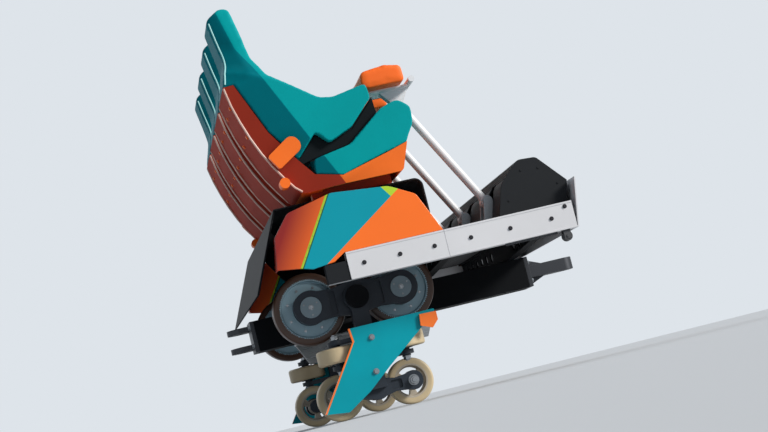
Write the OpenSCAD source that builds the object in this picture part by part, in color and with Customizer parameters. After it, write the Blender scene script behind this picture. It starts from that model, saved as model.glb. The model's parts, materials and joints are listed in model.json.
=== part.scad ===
// One four-abreast passenger car of a steel roller coaster train.
// X runs forward, Y to the left and Z up. The origin lies between the rails, level with
// their tops, under the axle. All sizes are in millimetres.

/* [Track] */
// Distance between the centres of the two rails
gauge = 1100; // [1060:10:1140]
// Diameter of a rail tube
rail_d = 150; // [140:5:160]
// Gap between a rail and the guide and underneath wheels
rail_play = 2; // [1:1:4]

/* [Wheels] */
// Diameter of a road wheel, which runs on top of the rail
road_d = 330; // [310:5:340]
// Width of a road wheel's tread
road_w = 85; // [75:5:90]
// Distance between the two road wheels of one side
road_base = 420; // [415:5:440]
// Diameter of a guide wheel, which runs along the outer side of the rail
guide_d = 190; // [170:5:200]
// Height of a guide wheel's tread
guide_w = 70; // [60:5:80]
// Distance between the two guide wheels of one side
guide_base = 300; // [290:5:330]
// Diameter of an upstop wheel, which runs under the rail
upstop_d = 210; // [190:5:220]
// Width of an upstop wheel's tread
upstop_w = 75; // [65:5:85]
// Distance between the two upstop wheels of one side
upstop_base = 330; // [310:5:350]
// Thickness of the cast polyurethane tread
tread_t = 26; // [20:1:30]
// Diameter of the stub axles that the wheels turn on
pin_d = 50; // [40:2:54]
// Radial clearance between a wheel and its stub axle
wheel_play = 0.05; // [0.02:0.01:0.08]
// Gap between a wheel's hub and the casting beside it
hub_gap = 6; // [6:1:8]

/* [Wheel carrier] */
// Diameter of the main axle, on which the carrier rocks
axle_d = 70; // [60:2:76]
// Thickness of the carrier's beams across the track
beam_t = 56; // [46:2:64]
// Width of the carrier's post along the track
post_w = 78; // [66:2:84]
// Thickness of the carrier's post across the track
post_t = 50; // [40:2:56]
// Gap between the rail and the post
post_gap = 14; // [10:1:18]
// Thickness of the forks that hold the guide wheels
fork_t = 20; // [14:1:24]
// Thickness of the cover plate
cover_t = 6; // [4:1:10]

/* [Body] */
// Height of the deck above the rail tops
deck_top = 325; // [315:5:335]
// Thickness of the deck plate
deck_t = 6; // [5:1:12]
// Distance from the axle forward to the end of the deck
deck_front = 970; // [950:10:1000]
// Height of a sill
sill_h = 120; // [110:5:130]
// Depth of a sill across the car
sill_t = 60; // [50:5:70]
// Distance from the axle back to the rear end of a sill
sill_back = 56; // [40:4:70]
// Thickness of the moulded covers
skin_t = 8; // [6:1:12]
// Height of the seat base's top above the rail tops
base_top = 600; // [590:5:610]

/* [Chassis] */
// Width of the spine
spine_w = 180; // [160:10:200]
// Height of the spine
spine_h = 150; // [140:5:160]
// Height of the spine's underside above the rail tops
spine_low = 55; // [50:5:60]
// Wall of the spine
spine_wall = 8; // [6:1:14]
// Distance between the front and the rear coupling pins
coupling_pitch = 1650; // [1630:10:1700]
// Distance from the axle forward to the front coupling pin
front_pin = 1150; // [1140:10:1180]
// Diameter of the coupling pin holes
coupling_d = 40; // [36:1:44]
// Thickness of the coupling tongue
tongue_t = 60; // [50:2:64]
// Gap between the tongue and each ear of the next car's fork
tongue_gap = 2; // [1:0.5:4]

/* [Seats] */
// Width of a seat
seat_w = 480; // [470:5:490]
// Gap between neighbouring seats
seat_gap = 40; // [30:2:50]
// Distance from the outer seats to the outer faces of the sills
seat_margin = 30; // [26:1:40]
// Width of the side bolsters of a seat
bolster_t = 56; // [50:2:60]
// Wall of the seat shell
shell_t = 14; // [10:1:18]
// Width of a headrest
head_w = 270; // [240:10:300]
// Height of the top of a headrest above the seat base
back_h = 935; // [900:5:960]

/* [Lap bars] */
// Diameter of the lap bar's tube
tube_d = 38; // [32:1:42]
// Distance from the axle forward to the lap bar pivots
pivot_x = 662; // [655:2:670]
// Height of the lap bar pivots above the deck
pivot_h = 115; // [110:5:125]
// Diameter of the lap bar pivot pins
pivot_d = 24; // [20:1:28]
// Width of the lap pad across the seat
lap_w = 320; // [280:10:330]

/* [Hidden] */
$fn = 64;

// Colours, as painted
TEAL = [0.0, 0.60, 0.65];
ORANGE = [1.0, 0.46, 0.14];
WHITE = [0.88, 0.88, 0.90];
BLACK = [0.09, 0.09, 0.10];
STEEL = [0.35, 0.40, 0.45];
CREAM = [0.85, 0.78, 0.62];

RIGHT = -1;
LEFT = 1;
FRONT = 1;
REAR = -1;

// Heights and sideways places that follow from the sizes above
axle_z = road_d / 2;
rail_y = gauge / 2;
rail_z = -rail_d / 2;
hub_out = 7;
guide_hub_out = 4;
road_half = road_w / 2 + hub_out;
upstop_half = upstop_w / 2 + hub_out;
upstop_z = -rail_d - rail_play - upstop_d / 2;
guide_y = rail_y + rail_d / 2 + rail_play + guide_d / 2;
guide_half = guide_w / 2 + guide_hub_out;
beam_y = rail_y + max(road_half, upstop_half) + hub_gap;
post_y = rail_y + rail_d / 2 + post_gap;
cover_y = guide_y + guide_d / 2 + 8;
washer_t = 10;
axle_beam_end = rail_y - road_half - hub_gap - washer_t - 8;

seat_pitch = seat_w + seat_gap;
half_w = 1.5 * seat_pitch + seat_w / 2 + seat_margin;
sill_low = deck_top + 10 - sill_h;
spine_top = spine_low + spine_h;
spine_front = deck_front - 30;
rear_pin = front_pin - coupling_pitch;
spine_rear = rear_pin + 70;
coupling_z = spine_low + spine_h / 2;
outrigger_w = 46;
outrigger_rear_x = 430;
outrigger_front_x = deck_front - 100;
base_front = 372;
base_rear = -300;
apron_back = base_front - 60;
base_half = half_w - 125;
pivot_z = deck_top + pivot_h;
seat_ys = [for (i = [0 : 3]) (i - 1.5) * seat_pitch];

function unit(v) = v / norm(v);

// Signed angle, -180 to 180, from direction a to direction b
function turn(a, b) = let (d = atan2(b[1], b[0]) - atan2(a[1], a[0])) d - 360 * round(d / 360);

// Closed outline with rounded corners; each corner is [x, y, radius]
function rounded(corners, steps = 6) = [
    for (i = [0 : len(corners) - 1])
        let (
            n = len(corners),
            c = corners[i],
            p = [c[0], c[1]],
            a = unit([corners[(i + n - 1) % n][0], corners[(i + n - 1) % n][1]] - p),
            b = unit([corners[(i + 1) % n][0], corners[(i + 1) % n][1]] - p),
            half = acos(a * b) / 2,
            centre = p + unit(a + b) * c[2] / sin(half),
            from = p + a * c[2] / tan(half) - centre,
            to = p + b * c[2] / tan(half) - centre
        )
        for (k = [0 : c[2] > 0 ? steps : 0])
            let (angle = atan2(from[1], from[0]) + turn(from, to) * k / steps)
            c[2] > 0 ? centre + c[2] * [cos(angle), sin(angle)] : p
];

// Cross product of two flat vectors
function cross_of(a, b) = a[0] * b[1] - a[1] * b[0];

// Twice the area that an outline encloses, positive when it runs counterclockwise
function turning(corners, i = 0) = i == len(corners) ? 0
    : cross_of(corners[i], corners[(i + 1) % len(corners)]) + turning(corners, i + 1);

// Same outline drawn in by a wall; the edges listed in open move out by 1 mm instead, so that
// a hollow cut with it is open there. Edge i starts at corner i.
function inset(corners, wall, open = []) =
    let (n = len(corners), way = sign(turning(corners)))
    [for (i = [0 : n - 1])
        let (
            p = [corners[i][0], corners[i][1]],
            a = unit([corners[(i + n - 1) % n][0], corners[(i + n - 1) % n][1]] - p),
            b = unit([corners[(i + 1) % n][0], corners[(i + 1) % n][1]] - p),
            bend = -way * cross_of(a, b),
            before = len(search((i + n - 1) % n, open)) > 0 ? -1 : wall,
            after = len(search(i, open)) > 0 ? -1 : wall,
            q = p + (before * b + after * a) / bend
        )
        [q[0], q[1], corners[i][2] > 0 ? max(corners[i][2] - wall * sign(bend), 1) : 0]];

// Gives its children on the side asked for: they are drawn on the left
module on_side(side) {
    if (side == LEFT) children();
    else mirror([0, 1, 0]) children();
}

// Side outline, X and Z, made into a slab from y0 to y1
module slab(y0, y1, points) {
    translate([0, y1, 0]) rotate([90, 0, 0]) linear_extrude(y1 - y0) polygon(points);
}

// Straight round bar along Y from y0 to y1
module bar_y(x, z, d, y0, y1) {
    translate([x, y1, z]) rotate([90, 0, 0]) cylinder(d = d, h = y1 - y0);
}

module block(x0, x1, y0, y1, z0, z1) {
    translate([x0, y0, z0]) cube([x1 - x0, y1 - y0, z1 - z0]);
}

// Takes a wedge off the side of its children behind a fold: the fold runs along the side face, at
// y = half, from a through b in side view, and behind it the side leans in by slope
module lean_in(half, a, b, slope) {
    along = b - a;
    ahead = 10;
    deep = 400;
    over = 300;
    difference() {
        children();
        for (side = [RIGHT, LEFT]) on_side(side)
            translate([a[0], 0, a[1]]) rotate([0, atan2(along[0], along[1]), 0]) translate([0, 0, -over])
                linear_extrude(norm(along) + 2 * over)
                    polygon([[-ahead, half + slope * ahead], [deep, half - slope * deep],
                             [deep, half + ahead], [-ahead, half + ahead]]);
    }
}

// Chassis

module spine_beam() {
    color(BLACK) difference() {
        block(spine_rear, spine_front, -spine_w / 2, spine_w / 2, spine_low, spine_top);
        block(spine_rear - 1, spine_front + 1, spine_wall - spine_w / 2, spine_w / 2 - spine_wall,
              spine_low + spine_wall, spine_top - spine_wall);
    }
}

// Cross beam under the seats, one half on each side of the spine, with the stub axles
module axle_beam() {
    nut_d = axle_d + 36;
    color(BLACK) for (side = [RIGHT, LEFT]) on_side(side) {
        block(-60, 60, spine_w / 2, axle_beam_end, axle_z - 40, spine_top);
        slab(spine_w / 2, axle_beam_end, [[-60, axle_z - 40], [60, axle_z - 40], [35, axle_z - 75],
                                          [-35, axle_z - 75]]);
        bar_y(0, axle_z, axle_d, axle_beam_end, post_y + post_t + 16);
        bar_y(0, axle_z, nut_d, post_y + post_t + 4, post_y + post_t + 24);
    }
}

// Front view outline of a cross member, drawn in by a flange on its top and bottom
function outrigger_outline(flange) =
    let (top = deck_top - deck_t - flange, end_y = half_w - sill_t)
    [[-end_y - 1, top], [-end_y - 1, top - 70 + 2 * flange], [-spine_w, spine_top + flange],
     [spine_w, spine_top + flange], [end_y + 1, top - 70 + 2 * flange], [end_y + 1, top]];

// Tapered cross members, I-shaped in section, that carry the deck and the sills
module outriggers() {
    web_t = 8;
    flange_t = 8;
    end_y = half_w - sill_t;
    // Distance from the middle and diameter of each lightening hole
    holes = [[250, 56], [370, 52], [490, 48], [610, 44], [730, 40], [850, 36]];
    rise = (deck_top - deck_t - 70 - spine_top) / (end_y - spine_w);
    function lower_z(y) = spine_top + rise * (y - spine_w);
    color(BLACK) for (x = [outrigger_rear_x, outrigger_front_x]) translate([x, 0, 0]) difference() {
        rotate([90, 0, 90]) translate([0, 0, -outrigger_w / 2]) linear_extrude(outrigger_w)
            polygon(outrigger_outline(0));
        for (z = [-outrigger_w / 2 - 1, web_t / 2]) rotate([90, 0, 90]) translate([0, 0, z])
            linear_extrude(outrigger_w / 2 - web_t / 2 + 1) polygon(outrigger_outline(flange_t));
        for (side = [RIGHT, LEFT]) on_side(side)
            block(-outrigger_w, outrigger_w, end_y, end_y + 10, spine_low, deck_top);
        for (hole = holes) for (side = [RIGHT, LEFT])
            translate([-web_t, side * hole[0], (deck_top - deck_t + lower_z(hole[0])) / 2])
                rotate([0, 90, 0]) cylinder(d = hole[1], h = 2 * web_t);
    }
}

module front_coupling() {
    plate_t = 20;
    gusset_t = 16;
    gusset_long = 110;
    tongue_w = 100;
    color(BLACK) difference() {
        union() {
            block(spine_front, spine_front + plate_t, -spine_w / 2, spine_w / 2, spine_low, spine_top);
            block(spine_front + plate_t, front_pin, -tongue_w / 2, tongue_w / 2,
                  coupling_z - tongue_t / 2, coupling_z + tongue_t / 2);
            translate([front_pin, 0, coupling_z - tongue_t / 2]) cylinder(d = tongue_w, h = tongue_t);
            slab(-gusset_t / 2, gusset_t / 2, [
                [spine_front, spine_low], [spine_front + gusset_long, coupling_z - tongue_t / 2],
                [spine_front + gusset_long, coupling_z + tongue_t / 2], [spine_front, spine_top]
            ]);
        }
        translate([front_pin, 0, coupling_z - tongue_t / 2 - 1]) cylinder(d = coupling_d, h = tongue_t + 2);
    }
}

module rear_coupling() {
    plate_t = 20;
    ear_t = 26;
    gap = tongue_t / 2 + tongue_gap;
    color(BLACK) difference() {
        union() {
            block(spine_rear - plate_t, spine_rear, -spine_w / 2, spine_w / 2, spine_low, spine_top);
            for (z = [coupling_z - gap - ear_t, coupling_z + gap]) {
                block(rear_pin, spine_rear - plate_t, -60, 60, z, z + ear_t);
                translate([rear_pin, 0, z]) cylinder(d = 120, h = ear_t);
            }
        }
        translate([rear_pin, 0, coupling_z - gap - ear_t - 1])
            cylinder(d = coupling_d, h = 2 * (gap + ear_t + 1));
    }
}

// Steel blade that the brakes on the track grip
module brake_fin() {
    foot_t = 10;
    rear = -250;
    front = 450;
    color(STEEL) union() {
        block(rear, front, -50, 50, spine_low - foot_t, spine_low);
        slab(-6, 6, [[rear, spine_low - foot_t], [front, spine_low - foot_t], [front - 50, spine_low - 115],
                     [rear + 50, spine_low - 115]]);
    }
}

// Floor and body

module rear_skirt() {
    plate_t = 10;
    low = [base_rear - 155, deck_top - 75];
    color(BLACK) slab(-base_half, base_half, [
        [base_rear, base_top], [base_rear, base_top - skin_t - plate_t], low + [plate_t, 0], low
    ]);
}

// Distance forward from the axle of the white fascia's rear face, which leans forward
function fascia_x(z) = deck_front + 0.18 * (z - sill_low);

// Deck plate, the white fascia across its front, and the lap bar lugs
module floor_deck() {
    lug_t = 12;
    fascia_t = 6;
    fascia_top = deck_top + 110;
    color(WHITE) union() {
        block(base_front, fascia_x(deck_top) + fascia_t / 2, sill_t - half_w, half_w - sill_t,
              deck_top - deck_t, deck_top);
        slab(-half_w, half_w, [
            [fascia_x(sill_low), sill_low], [fascia_x(sill_low) + fascia_t, sill_low],
            [fascia_x(fascia_top) + fascia_t, fascia_top], [fascia_x(fascia_top), fascia_top]
        ]);
    }
    color(STEEL) for (y = seat_ys) for (side = [RIGHT, LEFT])
        translate([0, y + side * (tube_d / 2 + 14 + lug_t / 2) - lug_t / 2, 0])
            lap_lug(lug_t);
    color(STEEL) for (y = seat_ys)
        bar_y(pivot_x, pivot_z, pivot_d, y - tube_d / 2 - 14 - lug_t / 2, y + tube_d / 2 + 14 + lug_t / 2);
}

module lap_lug(t) {
    slab(0, t, [[pivot_x - 45, deck_top], [pivot_x + 45, deck_top], [pivot_x + 20, pivot_z],
                [pivot_x - 20, pivot_z]]);
    bar_y(pivot_x, pivot_z, pivot_d + 20, 0, t);
}

// Bar along Y that stands out of a sloping face at a place on it, X and Z
module rib(at, slope, wide, out, end_y) {
    translate([at[0], 0, at[1]]) rotate([0, -atan2(slope[1], slope[0]), 0])
        block(-wide / 2, wide / 2, -end_y, end_y, -1, out);
}

// Hump across the front of the deck that the feet rest on, open below, slotted for the lap bars
module foot_rest() {
    foot = [deck_front - 272, deck_top + 155];
    crest = [deck_front - 175, deck_top + 245];
    outline = [
        [deck_front - 320, deck_top, 0], concat(foot, 60), concat(crest, 40),
        [deck_front - 90, deck_top + 240, 30], [deck_front + 24, deck_top + 110, 0],
        [deck_front - 4, deck_top, 0]
    ];
    end_y = half_w - sill_t - 4;
    ribs = 4;
    rib_w = 10;
    rib_out = 3;
    color(BLACK) difference() {
        union() {
            slab(-end_y, end_y, rounded(outline));
            for (i = [1 : ribs])
                rib(foot + (crest - foot) * (i + 0.4) / (ribs + 2), crest - foot, rib_w, rib_out,
                    end_y - rib_w);
        }
        slab(skin_t - end_y, end_y - skin_t, rounded(inset(outline, skin_t, [5])));
        for (y = seat_ys)
            block(pivot_x - 60, pivot_x + 62, y - tube_d / 2 - 30, y + tube_d / 2 + 30,
                  deck_top - 1, pivot_z + 62);
    }
}

// Steel plate on two webs that carries the seats over the wheels
module seat_base() {
    web_y = rail_y - road_half - hub_gap - washer_t - 60;
    // Distance from the axle, depth below the seats and diameter of each lightening hole in the webs
    holes = [[-70, 80, 80], [60, 140, 100], [190, 145, 90], [300, 160, 60]];
    color(BLACK) difference() {
        seat_base_solid(web_y);
        for (hole = holes) for (side = [RIGHT, LEFT]) on_side(side)
            bar_y(hole[0], base_top - hole[1], hole[2], web_y - 1, web_y + skin_t + 1);
    }
}

// Seat base before its webs are pierced
module seat_base_solid(web_y) {
    union() {
        slab(-base_half, base_half, [
            [base_rear, base_top - skin_t], [apron_back, base_top - skin_t], [apron_back, base_top],
            [base_rear, base_top]
        ]);
        for (side = [RIGHT, LEFT]) on_side(side) slab(web_y, web_y + skin_t, [
            [-60, spine_top], [60, spine_top], [base_front - skin_t, deck_top],
            [base_front - skin_t, base_top - 60], [apron_back, base_top - skin_t],
            [base_rear, base_top - skin_t]
        ]);
    }
}

// Moulded panel from the seats' front edge down to the deck
module seat_apron() {
    color(BLACK) slab(-base_half, base_half, rounded([
        [base_front, deck_top, 0], [base_front, base_top, 40], [apron_back, base_top, 0],
        [apron_back, base_top - skin_t, 0], [base_front - skin_t, base_top - skin_t, 28],
        [base_front - skin_t, deck_top, 0]
    ]));
}

// White aluminium sill, a hollow section in two lengths, with a dark end block behind it,
// and the gate roller and the edge strip that hang below it
module sill(side) {
    joint_x = base_front + 12;
    lip = 8;
    groove = 2;
    wall = 5;
    strip_h = 10;
    roller_d = 44;
    roller_x = deck_front - 50;
    roller_z = sill_low - roller_d / 2 - 6;
    inner_y = half_w - sill_t;
    color(WHITE) on_side(side) difference() {
        block(-sill_back, deck_front, inner_y, half_w, sill_low, sill_low + sill_h);
        block(-sill_back - 1, deck_front + 1, half_w - groove, half_w + 1, sill_low + lip,
              sill_low + sill_h - lip);
        block(joint_x - 1, joint_x + 1, half_w - 2 * groove, half_w + 1, sill_low - 1, sill_low + sill_h + 1);
        block(-sill_back - 1, deck_front + 1, inner_y + wall, half_w - groove - wall, sill_low + wall,
              sill_low + sill_h - wall);
    }
    color(BLACK) on_side(side)
        block(-sill_back - 100, -sill_back, inner_y, half_w - 6, sill_low, sill_low + sill_h - 36);
    color(STEEL) on_side(side) {
        block(deck_front - 330, deck_front - 90, half_w - 26, half_w - 20, sill_low - strip_h, sill_low);
        for (y = [half_w - 50, half_w - 16])
            block(roller_x - 16, roller_x + 16, y, y + 4, roller_z - 12, sill_low);
        bar_y(roller_x, roller_z, 12, half_w - 54, half_w - 8);
        bar_y(roller_x, roller_z, roller_d, half_w - 46, half_w - 16);
    }
}

// Painted cover beside the wheels and under the outer seat, open below and inwards
module fairing(side) {
    out = half_w - 4;
    inn = base_half;
    top = base_top;
    foot = sill_low + sill_h;
    outline = [
        [-356, foot - 8, 0], [-330, top - 130, 20], [-256, top - 40, 40], [-56, top, 90],
        [195, top - 25, 90], [305, top - 85, 40], [384, foot, 0], [-60, foot, 0],
        [-110, foot - 30, 12], [-206, foot - 40, 12], [-256, foot - 26, 0]
    ];
    underside = [for (edge = [6 : 10]) edge];
    fold = [[-56, top + 25], [-236, foot]];
    slope = 0.35;
    color(ORANGE) on_side(side) difference() {
        lean_in(out, fold[0], fold[1], slope) slab(inn, out, rounded(outline));
        lean_in(out - skin_t, fold[0], fold[1], slope)
            slab(inn - 1, out - skin_t, rounded(inset(outline, skin_t, underside)));
    }
}

// Seats, with heights measured from the top of the seat base

// Lines that the shell shares with the pads that lie on it, side view, X, Z and corner radius:
// the seam up the back and the top of the pan
SEAM = [[-350, 560, 0], [-250, 325, 0], [-152, 176, 0]];
PAN = [[-95, 100, 0], [20, 68, 0], [250, 128, 0], [330, 152, 0]];
shell_low = 30;

// Fold down each side of a seat, X and Z, and how far the side leans in behind it
SEAT_FOLD = [[-275, 675], [-80, 255]];
seat_lean = 0.25;

// Orange shell, hollow behind the back pad and under the pan, on two runners,
// with the dark strips that carry the bolsters
module seat_shell(y) {
    outer = rounded(concat(SEAM, PAN, [
        [284, shell_low, 20], [-170, shell_low, 60], [-275, 195, 200], [-355, 395, 200], [-396, 560, 0]
    ]));
    behind_back = rounded([
        [-340, 570, 0], [-240, 325, 0], [-130, 176, 30], [-80, 120, 0], [-90, shell_low + shell_t, 20],
        [-160, shell_low + shell_t, 50], [-275 + shell_t, 195 + shell_t / 2, 190],
        [-355 + shell_t, 395, 190], [-396 + shell_t, 570, 0]
    ]);
    under_pan = [
        [-70, shell_low - 1], [-70, 72], [20, 68 - shell_t], [250, 128 - shell_t], [300, 142 - shell_t],
        [284 - shell_t, shell_low - 1]
    ];
    strip = [
        [-165, 160], [-130, 157], [-88, 169], [80, 200], [225, 315], [222, 370], [112, 260], [0, 213],
        [-54, 268], [-148, 176], [-160, 168]
    ];
    runner = [
        [-120, 0], [240, 0], [240, 128 - shell_t], [20, 68 - shell_t], [-70, 90 - shell_t],
        [-120, 100 - shell_t]
    ];
    half = seat_w / 2;
    strip_t = 16;
    strip_y = half - bolster_t + 6;
    fold = SEAT_FOLD;
    color(ORANGE) translate([0, y, base_top]) union() {
        difference() {
            lean_in(half, fold[0], fold[1], seat_lean) slab(-half, half, outer);
            lean_in(half - shell_t, fold[0], fold[1], seat_lean) {
                slab(shell_t - half, half - shell_t, behind_back);
                slab(shell_t - half, half - shell_t, under_pan);
            }
        }
        for (side = [RIGHT, LEFT]) on_side(side) {
            slab(half - 150, half - 110, runner);
            lean_in(half, fold[0], fold[1], seat_lean) slab(strip_y, strip_y + strip_t, strip);
        }
        if (abs(y) > seat_pitch) on_side(sign(y)) seat_bracket(half);
    }
}

// Bracket and knob on the outer side of an outer seat
module seat_bracket(half) {
    slab(half - 8, half + 16, rounded([
        [-282, 212, 12], [-242, 148, 12], [-118, 226, 34], [-158, 292, 34]
    ], 8));
    slab(half - 60, half - 7, [[-276, 212], [-242, 156], [-196, 184], [-232, 246]]);
    bar_y(-232, 90, 46, half - 75, half - 12);
}

// Headrest, back and hip bolsters in one moulded pad
module back_pad(y) {
    half = seat_w / 2;
    back = rounded([
        [-322, back_h, 20], [-286, back_h - 15, 20], [-258, back_h - 160, 60], [-245, 670, 100],
        [-150, 300, 40], [-165, 262, 0], [-205, 262, 30], [-262, 400, 80], SEAM[0], [-396, 560, 0],
        [-362, 680, 80], [-396, back_h - 45, 30]
    ]);
    hip = rounded([
        [-258, back_h - 160, 0], [-245, 670, 60], [-200, 575, 60], [-100, 504, 60], [0, 428, 80],
        [60, 418, 60], [215, 444, 14], [222, 375, 20], [110, 265, 30], [0, 218, 20],
        [-54, 274, 12], SEAM[2], SEAM[1], SEAM[0], [-396, 560, 0], [-362, 680, 0]
    ]);
    color(TEAL) translate([0, y, base_top]) intersection() {
        lean_in(half, SEAT_FOLD[0], SEAT_FOLD[1], seat_lean) {
            slab(bolster_t - half, half - bolster_t, back);
            for (side = [RIGHT, LEFT]) on_side(side) slab(half - bolster_t, half, hip);
        }
        translate([-500, 0, 0]) rotate([90, 0, 90]) linear_extrude(1000) polygon(rounded([
            [-half, 100, 0], [half, 100, 0], [half, 580, 200], [head_w / 2 + 20, back_h - 205, 120],
            [head_w / 2, back_h + 5, 50], [-head_w / 2, back_h + 5, 50],
            [-head_w / 2 - 20, back_h - 205, 120], [-half, 580, 200]
        ]));
    }
}

// Seat squab with the two thigh bolsters that rise beside the legs
module seat_cushion(y) {
    half = seat_w / 2;
    squab = rounded(concat(PAN, [
        [350, 212, 25], [290, 238, 40], [0, 168, 120], [-110, 172, 20]
    ]));
    thigh = rounded(concat(PAN, [
        [378, 230, 50], [384, 305, 36], [328, 348, 40], [248, 322, 60], [80, 196, 60], [-92, 165, 20]
    ]));
    color(TEAL) translate([0, y, base_top]) lean_in(half, SEAT_FOLD[0], SEAT_FOLD[1], seat_lean) {
        slab(bolster_t - half, half - bolster_t, squab);
        for (side = [RIGHT, LEFT]) on_side(side) slab(half - bolster_t, half, thigh);
    }
}

// Lap bars, drawn closed

// Top end of the lap bar's tube and middle of the grips, X and Z, and the top of the plate between
LAP_HEAD = [346, base_top + 422];
GRIP = [436, base_top + 438];
lap_plate_z = base_top + 432;

// White tube from the pivot up to the grips, with its boss and the plate under the pad
module lap_arm(y) {
    reach = LAP_HEAD - [pivot_x, pivot_z];
    lean = atan2(-reach[0], reach[1]);
    plate_t = 8;
    grip_d = 28;
    color(WHITE) translate([0, y, 0]) difference() {
        union() {
            bar_y(pivot_x, pivot_z, pivot_d + 30, -tube_d / 2 - 6, tube_d / 2 + 6);
            translate([pivot_x, 0, pivot_z]) rotate([0, -lean, 0]) cylinder(d = tube_d, h = norm(reach));
            bar_y(GRIP[0], GRIP[1], grip_d, -lap_w / 2 + 10, lap_w / 2 - 10);
            block(232, GRIP[0], -lap_w / 4, lap_w / 4, lap_plate_z - plate_t, lap_plate_z);
            for (gusset_y = [-tube_d / 2 - plate_t, tube_d / 2 - 2])
                slab(gusset_y, gusset_y + plate_t, [
                    [300, lap_plate_z - 4], [GRIP[0], lap_plate_z - 4],
                    [LAP_HEAD[0] + 44, LAP_HEAD[1] - 76], [LAP_HEAD[0] + 20, LAP_HEAD[1] - 76]
                ]);
        }
        bar_y(pivot_x, pivot_z, pivot_d + 0.1, -tube_d, tube_d);
    }
}

module lap_pad(y) {
    color(ORANGE) translate([0, y, 0]) slab(-lap_w / 2, lap_w / 2, rounded([
        [206, lap_plate_z, 24], [212, lap_plate_z + 78, 24], [330, lap_plate_z + 92, 40],
        [402, lap_plate_z + 76, 20], [408, lap_plate_z, 16]
    ]));
}

// Wheels

// Section of a wheel, radius and width: hub, web, rim and tread, each face set back by dish
function wheel_section(d, w, bore_d, hub_d, out, dish) =
    let (
        r = d / 2, rim = d / 2 - tread_t - 10, b = bore_d / 2 + wheel_play,
        half = [[b, w / 2 + out], [hub_d / 2, w / 2 + out], [hub_d / 2 + 4, w / 2 - dish],
                [rim - 4, w / 2 - dish], [rim, w / 2 - 2], [r - 10, w / 2], [r - 3, w / 2 - 3],
                [r, w / 2 - 10]]
    )
    concat(half, [for (i = [len(half) - 1 : -1 : 0]) [half[i][0], -half[i][1]]]);

module wheel(d, w, bore_d, hub_d, out, dish) {
    rotate_extrude() polygon(wheel_section(d, w, bore_d, hub_d, out, dish));
}

module road_wheel(side, end) {
    color(STEEL) on_side(side) translate([end * road_base / 2, rail_y, axle_z]) rotate([90, 0, 0])
        wheel(road_d, road_w, pin_d, pin_d + 50, hub_out, 16);
}

module guide_wheel(side, end) {
    color(CREAM) on_side(side) translate([end * guide_base / 2, guide_y, rail_z])
        wheel(guide_d, guide_w, pin_d - 10, pin_d + 20, guide_hub_out, 8);
}

// The web between hub and rim is cut into three spokes
module upstop_wheel(side, end) {
    spokes = 3;
    spoke_angle = 34;
    hub_d = pin_d + 16;
    inner = hub_d / 2 + 6;
    outer = upstop_d / 2 - tread_t - 16;
    color(CREAM) on_side(side) translate([end * upstop_base / 2, rail_y, upstop_z]) rotate([90, 0, 0])
        difference() {
            wheel(upstop_d, upstop_w, pin_d - 10, hub_d, hub_out, 20);
            for (i = [0 : spokes - 1]) rotate([0, 0, i * 360 / spokes + 30 + spoke_angle / 2])
                translate([0, 0, -upstop_w]) rotate_extrude(angle = 360 / spokes - spoke_angle)
                    translate([inner, 0]) square([outer - inner, 2 * upstop_w]);
        }
}

// Wheel carriers

// Beam of the carrier: two end bosses and a middle boss, waisted between them, with a pocket on
// each side of the middle in its outer face
module dog_bone(base, z, end_r, mid_r, waist) {
    rim = 9;
    pocket_deep = 10;
    high = waist - rim;
    pocket = [
        [mid_r + rim, high, 8], [base / 2 - end_r - rim, high, 8],
        [base / 2 - end_r - rim, -high, 8], [mid_r + rim, -high, 8]
    ];
    translate([0, beam_y + beam_t, z]) rotate([90, 0, 0]) difference() {
        linear_extrude(beam_t) union() {
            for (x = [-base / 2, base / 2]) translate([x, 0]) circle(r = end_r);
            circle(r = mid_r);
            polygon([[-base / 2, end_r * 0.9], [-base / 4, waist], [0, mid_r * 0.95], [base / 4, waist],
                     [base / 2, end_r * 0.9], [base / 2, -end_r * 0.9], [base / 4, -waist],
                     [0, -mid_r * 0.95], [-base / 4, -waist], [-base / 2, -end_r * 0.9]]);
        }
        for (turn = [0, 180]) rotate([0, 0, turn]) translate([0, 0, -1])
            linear_extrude(pocket_deep + 1) polygon(rounded(pocket));
    }
}

// Stub axle for a wheel on the beam, with the washer that keeps the wheel on
module stub_y(x, z, d, half) {
    bar_y(x, z, d, rail_y - half - hub_gap - washer_t, beam_y + 1);
    bar_y(x, z, d + 26, rail_y - half - hub_gap - washer_t, rail_y - half - hub_gap);
}

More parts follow.
